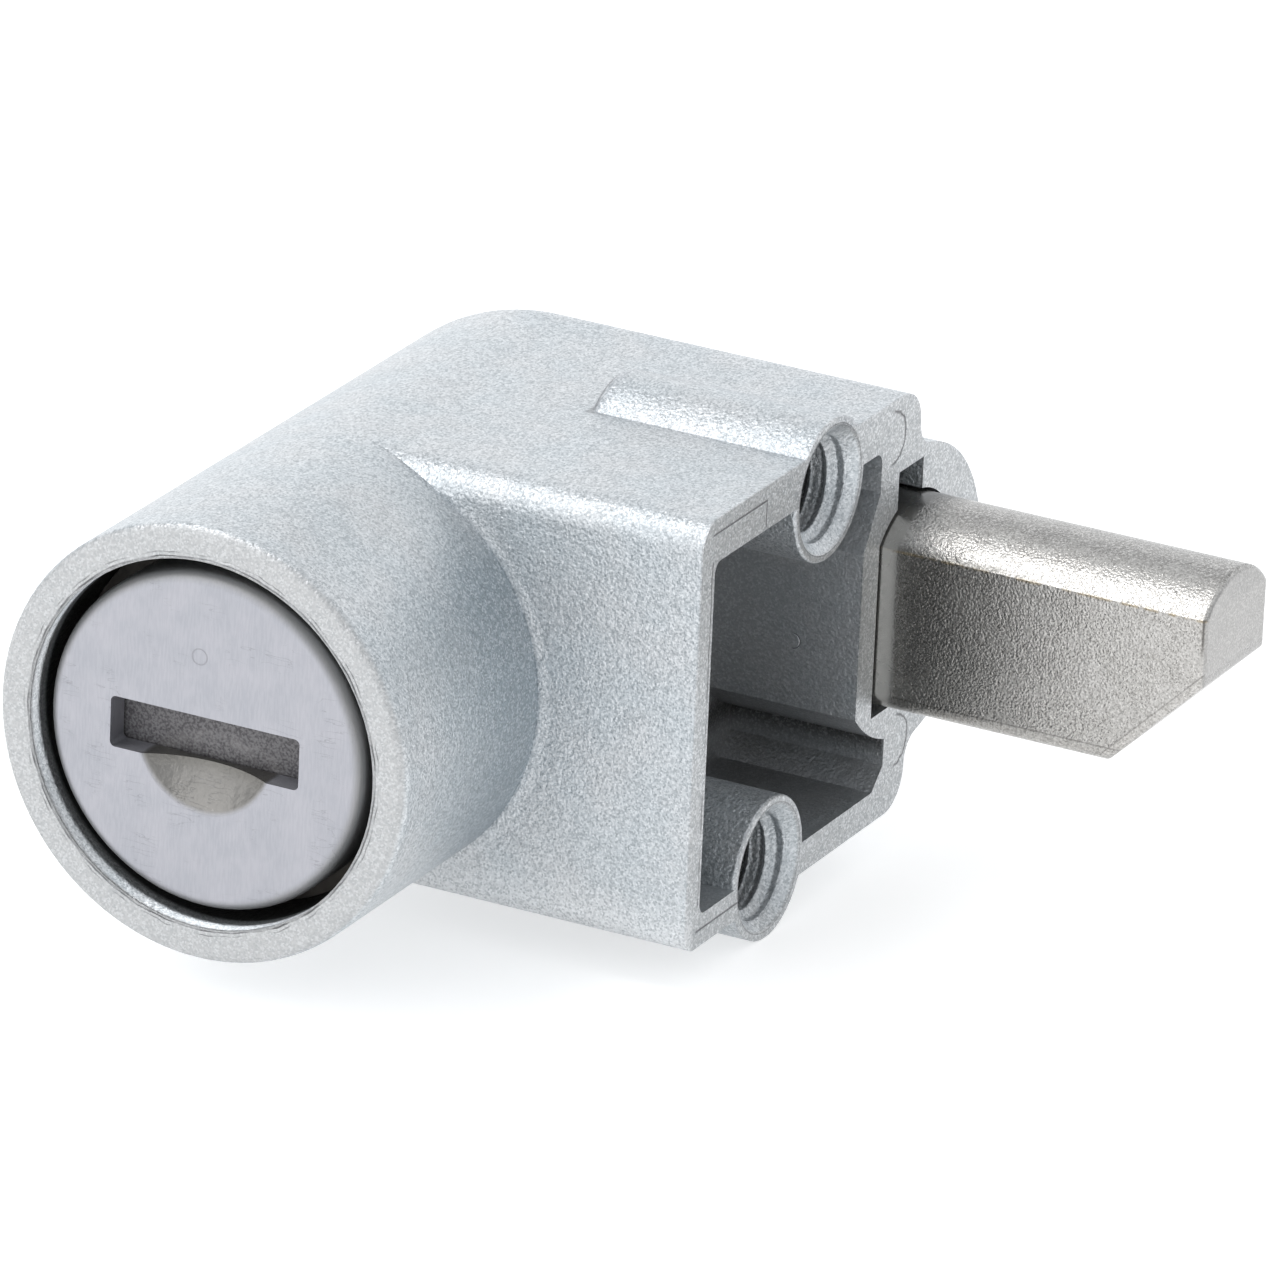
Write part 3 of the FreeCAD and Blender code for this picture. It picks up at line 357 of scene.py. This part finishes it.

# %% [markdown]
# The colour starts from the plate's pale blue, turns neutral on the trimmed end face and
# the turned ring, and takes painted shade beside the joint, on the boss and in the hollows,
# and painted light on the front's foot. The grain then lightens the tips and darkens the
# pits, and the lines come last.

# %% Colour and relief of the casting
tone = zinc.blend(patches.rise(0.3, 0.7), (0.57, 0.605, 0.63), (0.61, 0.625, 0.64))
tone = zinc.blend(on_end_face * 0.75, tone, (0.44, 0.445, 0.45))
tone = zinc.blend(on_ring_face * 0.85, tone, (0.48, 0.48, 0.48))
# Painted shade on the barrel beside the joint, painted light on the front face's foot.
tone = zinc.blend(painted_shade_beside_joint * 0.65, tone, (0.30, 0.37, 0.42))
tone = zinc.blend(painted_light_front_foot * 0.6, tone, (0.80, 0.81, 0.82))
# Painted shade on the upper boss's back flank and rounded end.
tone = zinc.blend(boss_shade * 0.5, tone, (0.36, 0.38, 0.41))
# Painted shade: the end pocket, more deeper in, then the screw holes, a band low at the pocket's back, and
# the bore.
tone = zinc.blend(in_pocket * (pocket_depth * 0.45 + 0.12), tone, (0.17, 0.16, 0.155))
tone = zinc.blend((low_shadow * 0.9).most(painted_shade_in_holes * 0.8), tone, (0.06, 0.055, 0.05))
tone = zinc.blend(painted_shade_in_bore * 0.92, tone, (0.03, 0.03, 0.03))
shown_grain = (1.0 - in_pocket * 0.6) * (1.0 - painted_shade_in_bore) * (1.0 - on_ring_face * 0.5)
speck = crystals * 0.6 + fine_grain * 0.4
tips = speck.rise(0.5, 0.72) * shown_grain * 0.45
pits = (1.0 - speck.rise(0.28, 0.5)) * shown_grain * 0.45
tone = zinc.blend(tips, tone, (0.90, 0.92, 0.94))
tone = zinc.blend(pits, tone, (0.24, 0.27, 0.29))
# Painted shade in the crease round the upper boss.
tone = zinc.blend(painted_crease_shade, tone, (0.20, 0.20, 0.21))
zinc.feed("Base Color", zinc.blend(lines, tone, (0.09, 0.09, 0.095)))
grain_height = (fine_grain - 0.5) * 0.06 + (coarse_grain - 0.5) * 0.05
grain_height = grain_height * (1.0 - on_end_face * 0.4) * (1.0 - in_pocket * 0.4)
zinc.relief(grain_height + joint_height - lines * 0.05 - lip * 0.65)
zinc.feed("Roughness", coarse_grain * 0.2 + 0.34)
zinc.coat("housing")

# %% [markdown]
# ## Nickel on the bolt
# The bolt is a casting with a satin nickel plate, warmer than zinc, with an even grain
# like fine sandpaper. The first part beyond the window sparkles less and gets painted
# shade on its front side, dark brown-grey by the window and fading over 11 mm, and the
# crown gets painted shade toward its top. The ramp's front edge is slightly rounded.

# %% Grain and places on the bolt
nickel = Finish("nickel_bolt", Metallic=0.95)
nickel_crystals = nickel.crystals(0.07)
nickel_grain = nickel.noise(0.12, 2.0)
peel = nickel.noise(0.3, 2.0)
nickel_patches = nickel.noise(1.6, 3.0)
beyond_window = nickel.x.rise(end_plane + 0.7, end_plane + 1.0)
on_tip = nickel.x.rise(bolt_high.x - 0.12, bolt_high.x - 0.04)
front_side = 1.0 - nickel.y.rise(bolt_low.y + 0.05, bolt_low.y + 0.3)
painted_shade_near_window = (1.0 - nickel.x.rise(end_plane, end_plane + 11.0)) * front_side

# %% [markdown]
# The distance from the ramp is a straight-line formula: height above the bolt's
# underside times the cosine of the ramp's angle, less the way along times its sine.

# %% Edges of the bolt
ramp_length, ramp_rise = 4.6, 4.65
ramp_angle = math.atan2(ramp_rise, ramp_length)
above = (nickel.z - bolt_low.z) * math.cos(ramp_angle)
from_ramp = above - (nickel.x - (bolt_high.x - ramp_length)) * math.sin(ramp_angle)
ramp_edge = 1.0 - from_ramp.rise(0.0, 0.45)
ramp_line = from_ramp.near(0.42, 0.06) * front_side
bottom_line = above.near(0.58, 0.05) * front_side * beyond_window
crown_edge_z = 3.32
above_crown_edge = nickel.z.rise(crown_edge_z, crown_edge_z + 0.3)
painted_shade_on_crown = nickel.y.rise(bolt_low.y + 1.3, bolt_low.y + 2.6) * above_crown_edge
painted_highlight_patches = nickel.noise(0.6, 2.0).rise(0.36, 0.56)
crown_edge = nickel.z.near(crown_edge_z, 0.11) * front_side * painted_highlight_patches
corner = nickel.x.near(bolt_high.x - 0.14, 0.1) * front_side * nickel.z.rise(0.9, 2.6)
corner = corner * (1.0 - nickel.z.rise(crown_edge_z, crown_edge_z + 0.15))
print("ramp at", round(math.degrees(ramp_angle), 1), "degrees")

# %% Colour and relief of the bolt
rough_skin = beyond_window * (1.0 - on_tip * 0.5)
nickel_height = (nickel_grain - 0.5) * 0.035 + (peel - 0.5) * 0.02
nickel.relief(nickel_height * rough_skin - ramp_edge * 0.14)
nickel_tone = nickel.blend(nickel_patches.rise(0.3, 0.7), (0.48, 0.465, 0.445), (0.545, 0.53, 0.51))
nickel_tone = nickel.blend((1.0 - beyond_window) * 0.6, nickel_tone, (0.42, 0.41, 0.38))
# Painted shade on the bolt's front side, darkest by the window.
nickel_tone = nickel.blend(painted_shade_near_window * beyond_window * 0.7, nickel_tone, (0.13, 0.125, 0.11))
# Painted shade toward the top of the crown.
nickel_tone = nickel.blend(painted_shade_on_crown * 0.75, nickel_tone, (0.27, 0.265, 0.26))
nickel_tone = nickel.blend(on_tip * 0.8, nickel_tone, (0.34, 0.335, 0.33))
nickel_speck = nickel_crystals * 0.6 + nickel_grain * 0.4
nickel_tips = nickel_speck.rise(0.52, 0.72) * rough_skin * (1.0 - painted_shade_near_window * 0.7) * 0.4
nickel_pits = (1.0 - nickel_speck.rise(0.28, 0.48)) * rough_skin * 0.45
nickel_tone = nickel.blend(nickel_tips, nickel_tone, (0.84, 0.82, 0.79))
nickel_tone = nickel.blend(nickel_pits, nickel_tone, (0.16, 0.15, 0.135))
# Painted highlight: a broken brownish-gold line along the edge round where the crown meets the front side.
nickel_tone = nickel.blend(crown_edge * 0.6, nickel_tone, (0.34, 0.26, 0.14))
dark_lines = (ramp_line.most(bottom_line) * 0.45).most(corner * 0.85)
nickel_tone = nickel.blend(dark_lines, nickel_tone, (0.07, 0.065, 0.06))
nickel.feed("Base Color", nickel_tone)
nickel.feed("Roughness", nickel_patches * 0.1 + 0.22)
nickel.coat("bolt")

# %% [markdown]
# ## The cap over the key cylinder
# The cap is pressed from sheet and plated, so it is smooth, with faint upright brushing
# and hair scratches from keys. Its rolled rim is painted darker and yellower, a painted
# reflection of the dark gap round it. Below the slot it is dished to guide the key in, and
# there the press left warm bright metal, with painted shade at the dish's top under the
# slot.

# %% The cap's finish
cap = Finish("plated_cap", Metallic=0.9)
cloud = cap.noise(1.4, 3.0)
brushing = cap.noise(0.09, 2.0, (1.0, 1.0, 0.12))
hair = cap.noise(0.25, 2.0, (0.15, 1.0, 1.0)).near(0.5, 0.012)
scratches = hair * cap.noise(1.8, 1.0).rise(0.5, 0.65)
from_middle = cap.away(x=0.0, z=0.0)
below_slot = 1.0 - cap.z.rise(-0.6, -0.2)
in_dish = (1.0 - from_middle.rise(3.1, 3.4)) * below_slot
painted_reflection_on_rim = from_middle.rise(cap_radius - 0.6, cap_radius - 0.1)
crumple = cap.noise(0.7, 2.0)
maker_ring = cap.away(x=-0.35, z=3.9).near(0.36, 0.06)
dish_height = in_dish * (crumple * 0.07 + cap.noise(0.25, 2.0) * 0.03)
cap.relief((brushing - 0.5) * 0.01 + dish_height - scratches * 0.006 - maker_ring * 0.015)
cap_tone = cap.blend(cloud.rise(0.3, 0.7), (0.39, 0.395, 0.43), (0.43, 0.43, 0.465))
cap_tone = cap.blend(brushing.rise(0.4, 0.6) * 0.12, cap_tone, (0.62, 0.62, 0.64))
cap_tone = cap.blend(in_dish * 0.85, cap_tone, (0.21, 0.20, 0.18))
# Painted shade in the dish just under the slot.
painted_shade_under_slot = in_dish * cap.z.rise(-1.9, -0.9)
cap_tone = cap.blend(painted_shade_under_slot * 0.6, cap_tone, (0.12, 0.115, 0.10))
# Painted reflection: the rolled rim is darker and yellower where it mirrors the dark gap.
cap_tone = cap.blend(painted_reflection_on_rim * 0.6, cap_tone, (0.17, 0.165, 0.14))
cap_tone = cap.blend(((scratches + maker_ring) * 0.45).least(1.0), cap_tone, (0.22, 0.22, 0.23))
cap.feed("Base Color", cap_tone)
cap.feed("Roughness", 0.42 + cloud * 0.08 - in_dish * 0.12)
cap.coat("face_cap")

# %% [markdown]
# ## The dark shutter
# A blackened steel flap closes the key slot against dust. It is matt with a fine
# grain, and the key has rubbed a pale arc on it.

# %% The shutter's finish
shutter = Finish("dark_steel", Metallic=0.7)
shutter_grain = shutter.noise(0.12, 2.0)
key_arc = shutter.away(x=0.2, z=-4.6).near(4.4, 0.5) * shutter.noise(0.6, 2.0).rise(0.4, 0.6)
shutter.relief((shutter_grain - 0.5) * 0.03)
shutter_tone = shutter.blend(shutter_grain.rise(0.35, 0.65), (0.10, 0.095, 0.10), (0.21, 0.205, 0.21))
shutter.feed("Base Color", shutter.blend(key_arc * 0.35, shutter_tone, (0.32, 0.31, 0.31)))
shutter.feed("Roughness", shutter_grain * 0.15 + 0.5)
shutter.coat("dust_shutter")

# %% [markdown]
# ## The pieces inside
# Nothing inside the barrel is seen in the photograph, apart from the dark end of the
# cylinder through the gap round the cap. They still get true metals: bare zinc with
# lathe rings, painted nearly black on the sleeve as painted shade in that gap, bright
# steel, drawn spring wire with die lines, and stamped brass.


# %% Finishes of the inner pieces
def inner_metal(name, light, dark, rough, grain, stretch, nodes):
    """A plain metal with fine marks that run one way and a slow change of colour."""
    metal = Finish(name, Metallic=0.9)
    marks = metal.noise(grain, 2.0, stretch)
    stain = metal.noise(1.8, 3.0)
    metal.relief((marks - 0.5) * 0.012)
    metal.feed("Base Color", metal.blend(stain.rise(0.3, 0.7), dark, light))
    metal.feed("Roughness", marks * 0.15 + rough)
    metal.coat(*nodes)


wafers = [name for name in frame["nodes"] if name.startswith("wafer_") and "spring" not in name]
wafer_springs = [name for name in frame["nodes"] if name.startswith("wafer_spring")]
# The sleeve's near-black zinc is painted shade for the dark gap round the cap.
inner_metal(
    "greased_zinc", (0.11, 0.10, 0.09), (0.05, 0.048, 0.045), 0.45, 0.12, (0.2, 1.0, 0.2),
    ["cylinder_shell"],
)
inner_metal(
    "raw_zinc", (0.60, 0.61, 0.62), (0.42, 0.43, 0.45), 0.38, 0.12, (0.2, 1.0, 0.2),
    ["key_plug", "drive_cam"],
)
inner_metal(
    "steel", (0.62, 0.62, 0.63), (0.48, 0.48, 0.50), 0.28, 0.10, (1.0, 0.3, 1.0),
    ["shell_pin", "cam_washer", "cam_screw", "shutter_pin"],
)
inner_metal(
    "spring_steel", (0.50, 0.51, 0.53), (0.34, 0.34, 0.36), 0.25, 0.06, (0.3, 1.0, 1.0),
    ["plug_clip", "bolt_spring", "shutter_spring", *wafer_springs],
)
inner_metal(
    "brass_wafer", (0.78, 0.62, 0.32), (0.62, 0.46, 0.22), 0.30, 0.10, (1.0, 0.3, 1.0),
    wafers,
)

# %% [markdown]
# ## Screw threads
# The two screw holes are tapped M5 with a pitch of 0.8 mm. In the solids they are
# plain, because threads cost many faces. Here each thread is one tube that lines its
# hole: round the hole and along it, its inner radius follows a rounded wave that
# climbs one pitch a turn, which is what a tap cuts.

# %% Sizes of the thread
thread_pitch = 0.8
thread_depth = 0.42
around = 72
steps_per_pitch = 14
wall_overlap = 0.004
print("thread of", around, "steps a turn and", steps_per_pitch, "a pitch")


# %% One tapped thread
def tapped_thread(name, hole, finish):
    """Line a hole along X with a helical thread.

    Angle a goes round the hole and x goes into it. The wave is (1 + cos(2 pi (x / pitch -
    a / 2 pi))) / 2, raised to a power so that its crests are narrower than its roots, and
    faded out at both ends. The inner radius is the hole's radius less depth times wave.
    """
    radius = hole["dims"]["r_mm"]
    length = hole["dims"]["length_mm"]
    centre = Vector(hole["pos_m"]) / MM
    rows = round(length / thread_pitch * steps_per_pitch)
    along = np.linspace(0.0, length - 0.05, rows)
    angle = np.linspace(0.0, 2 * np.pi, around, endpoint=False)
    x, a = np.meshgrid(along, angle, indexing="ij")
    wave = ((1 + np.cos(2 * np.pi * x / thread_pitch - a)) / 2) ** 1.4
    fade = np.clip(x / (0.7 * thread_pitch), 0, 1) * np.clip((length - 0.05 - x) / 0.3, 0, 1)
    inner = radius - wall_overlap - thread_depth * wave * fade
    grids = []
    for r in (inner, np.full_like(inner, radius + wall_overlap)):
        place = np.stack([thread_start - x, centre.y + r * np.cos(a), centre.z + r * np.sin(a)], axis=-1)
        grids.append(place.reshape(-1, 3))
    corner = np.arange(rows * around).reshape(rows, around)
    here, below = corner[:-1], corner[1:]
    inside = np.stack([here, below, np.roll(below, -1, 1), np.roll(here, -1, 1)], axis=-1)
    outside = inside[..., ::-1] + rows * around
    faces = [inside.reshape(-1, 4), outside.reshape(-1, 4)]
    for row, turned in ((0, False), (rows - 1, True)):
        rim = corner[row]
        back = rim + rows * around
        band = np.stack([rim, np.roll(rim, -1), np.roll(back, -1), back], axis=-1)
        faces.append(band[:, ::-1] if turned else band)
    mesh = bpy.data.meshes.new(name)
    mesh.from_pydata(np.concatenate(grids) * MM, [], np.concatenate(faces).tolist())
    mesh.shade_smooth()
    mesh.materials.append(finish.material)
    thread = bpy.data.objects.new(name, mesh)
    bpy.context.collection.objects.link(thread)
    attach(thread, "housing")
    print(name, len(mesh.polygons), "faces")
    return thread


for side in ("upper", "lower"):
    tapped_thread(f"{side}_thread", mounts[f"{side}_screw_hole"], zinc)

# %% [markdown]
# ## Floor and background
# The photograph has a white ground. The floor is pale and matt and takes the lock's
# shadow. Seen by the camera, in gloss or through glass it also glows a little, so that
# it comes out white without more light on the metal.

# %% Floor and world
floor_reach = 3.0
floor_mesh = bpy.data.meshes.new("floor")
floor_level = loaded_box[0].z
corner_signs = [(-1, -1), (1, -1), (1, 1), (-1, 1)]
floor_corners = [(x * floor_reach, y * floor_reach, floor_level) for x, y in corner_signs]
floor_mesh.from_pydata(floor_corners, [], [(0, 1, 2, 3)])
floor = bpy.data.objects.new("floor", floor_mesh)
bpy.context.collection.objects.link(floor)

paper_glow = (0.5, 0.5, 0.5)
paper = Finish("pale_paper", Roughness=0.9, Specular_IOR_Level=0.0, Emission_Strength=1.0)
paper.shader.inputs["Base Color"].default_value = (0.8, 0.8, 0.8, 1.0)
seen = 0.0
for ray in ("Is Camera Ray", "Is Glossy Ray", "Is Transmission Ray"):
    seen = paper.node("ShaderNodeLightPath", {}, {}, ray).most(seen)
paper.feed("Emission Color", paper.blend(seen, (0.0, 0.0, 0.0), paper_glow))
floor_mesh.materials.append(paper.material)

world = bpy.data.worlds.new("studio")
world.use_nodes = True
world.node_tree.nodes["Background"].inputs["Color"].default_value = (0.95, 0.975, 1.0, 1.0)
world.node_tree.nodes["Background"].inputs["Strength"].default_value = 0.8
bpy.context.scene.world = world
print("floor at", round(floor_level / MM, 2), "mm")

# %% [markdown]
# ## Lamps
# A narrow box hangs overhead on the left and makes the white bands on the rounded top
# edges. Two broad ones stand behind as bright walls that the top faces mirror, and one
# more fills the front from the left. They are large and near, so all shadows are soft.


# %% Soft boxes round the lock
def soft_box(name, place, aim, width, height, power):
    """A rectangular lamp that looks from place to aim, all in metres."""
    lamp = bpy.data.lights.new(name, "AREA")
    lamp.shape = "RECTANGLE"
    lamp.size = width
    lamp.size_y = height
    lamp.energy = power
    box = bpy.data.objects.new(name, lamp)
    box.location = place
    box.rotation_euler = (Vector(aim) - Vector(place)).to_track_quat("-Z", "Y").to_euler()
    bpy.context.collection.objects.link(box)
    print(name, power, "W")


part_middle = (0.012, 0.017, 0.0)
soft_box("overhead", (-0.165, -0.086, 0.343), part_middle, 0.10, 0.26, 0.45)
soft_box("back_left", (-0.38, 0.52, 0.24), part_middle, 0.55, 0.42, 0.45)
soft_box("back_right", (0.25, 0.56, 0.24), part_middle, 0.55, 0.42, 0.4)
soft_box("front_left", (-0.25, -0.42, 0.27), part_middle, 0.62, 0.52, 0.95)

# %% [markdown]
# ## Camera
# The photograph was taken from the right and a little above, with a long lens, so
# parallel edges stay nearly parallel. The camera's angles are those at which the lock's
# edges run as they do in the photograph.

# %% Camera at the photograph's angle
azimuth, elevation, roll = math.radians(26.9), math.radians(21.93), math.radians(2.55)
seen_point = Vector((13.294, 15.0, 2.818)) * MM
camera_distance = 0.5806
lens_length = 376.9
toward_camera = Vector((
    math.sin(azimuth) * math.cos(elevation),
    -math.cos(azimuth) * math.cos(elevation),
    math.sin(elevation),
))
level_right = Vector((math.cos(azimuth), math.sin(azimuth), 0.0))
level_up = toward_camera.cross(level_right)
right = level_right * math.cos(roll) + level_up * math.sin(roll)
up = toward_camera.cross(right)
camera_data = bpy.data.cameras.new("camera")
camera_data.lens = lens_length
camera_data.sensor_width = 36.0
camera_data.clip_start = 0.01
camera = bpy.data.objects.new("camera", camera_data)
turned = Matrix((right, up, toward_camera)).transposed()
camera.matrix_world = Matrix.Translation(seen_point + toward_camera * camera_distance) @ turned.to_4x4()
bpy.context.collection.objects.link(camera)
bpy.context.scene.camera = camera
bpy.context.scene.view_settings.view_transform = "Standard"
print("camera", [round(part, 3) for part in camera.location])
